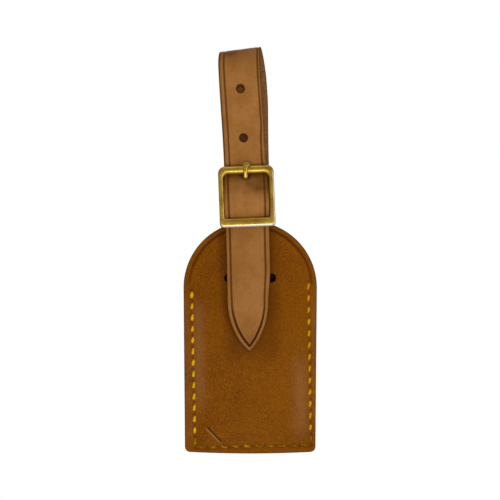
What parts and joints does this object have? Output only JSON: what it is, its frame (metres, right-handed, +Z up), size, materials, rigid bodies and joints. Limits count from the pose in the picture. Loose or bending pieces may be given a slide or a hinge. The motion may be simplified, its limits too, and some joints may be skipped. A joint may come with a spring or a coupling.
{
  "type": "luggage tag",
  "caption": "Arch-topped leather luggage tag, stitched as a card pocket, hanging from a buckled leather strap that folds over a handle.",
  "frame": {"origin": "middle of the strap's top fold, on the axis that a bag's handle passes along", "axes": "+X across the tag to the right of its front face, +Y from the front to the back, +Z up; the tag hangs in -Z"},
  "size_m": [0.0642, 0.0206, 0.1951],
  "materials": {
    "tag_leather": "satin",
    "strap_leather": "satin",
    "brass": "polished, worn",
    "thread": "waxed thread",
    "card": "matte card"
  },
  "bodies": {
    "loop": {"strap_loop": "strap_leather"},
    "hanger": {"strap_front": "strap_leather", "strap_sling": "strap_leather", "strap_end_thread": "thread"},
    "tip": {"strap_tip": "strap_leather"},
    "buckle": {"buckle_frame": "brass", "centre_bar": "brass"},
    "prong": {"prong": "brass"},
    "tag": {"front_panel": "tag_leather", "back_panel": "tag_leather", "front_seam_thread": "thread", "back_seam_thread": "thread"},
    "card": {"address_card": "card"}
  },
  "joints": [
    {"name": "strap_flex", "type": "hinge", "parent": "loop", "child": "hanger", "pos_m": [0.00159, -0.0016, -0.04147], "axis": [0.9993, 0, 0.0384], "range_deg": [-10, 10], "stiffness_Nm_per_rad": 0.01},
    {"name": "tip_lift", "type": "hinge", "parent": "hanger", "child": "tip", "pos_m": [0.00308, -0.0062, -0.08014], "axis": [-0.9993, 0, -0.0384], "range_deg": [0, 35], "stiffness_Nm_per_rad": 0.004},
    {"name": "frame_rock", "type": "hinge", "parent": "hanger", "child": "buckle", "pos_m": [0.00245, -0.0059, -0.06385], "axis": [0.9993, 0, 0.0384], "range_deg": [-1.5, 1.5]},
    {"name": "prong_lift", "type": "hinge", "parent": "buckle", "child": "prong", "pos_m": [0.00245, -0.0059, -0.06385], "axis": [0.9993, 0, 0.0384], "range_deg": [0, 1.5]},
    {"name": "tag_tilt", "type": "hinge", "parent": "hanger", "child": "tag", "pos_m": [0.0039, 0, -0.10143], "axis": [0, 1, 0], "range_deg": [-6.5, 2.5]},
    {"name": "card_slide", "type": "slide", "parent": "tag", "child": "card", "axis": [0, 0, 1], "range_m": [0, 0.003]}
  ]
}
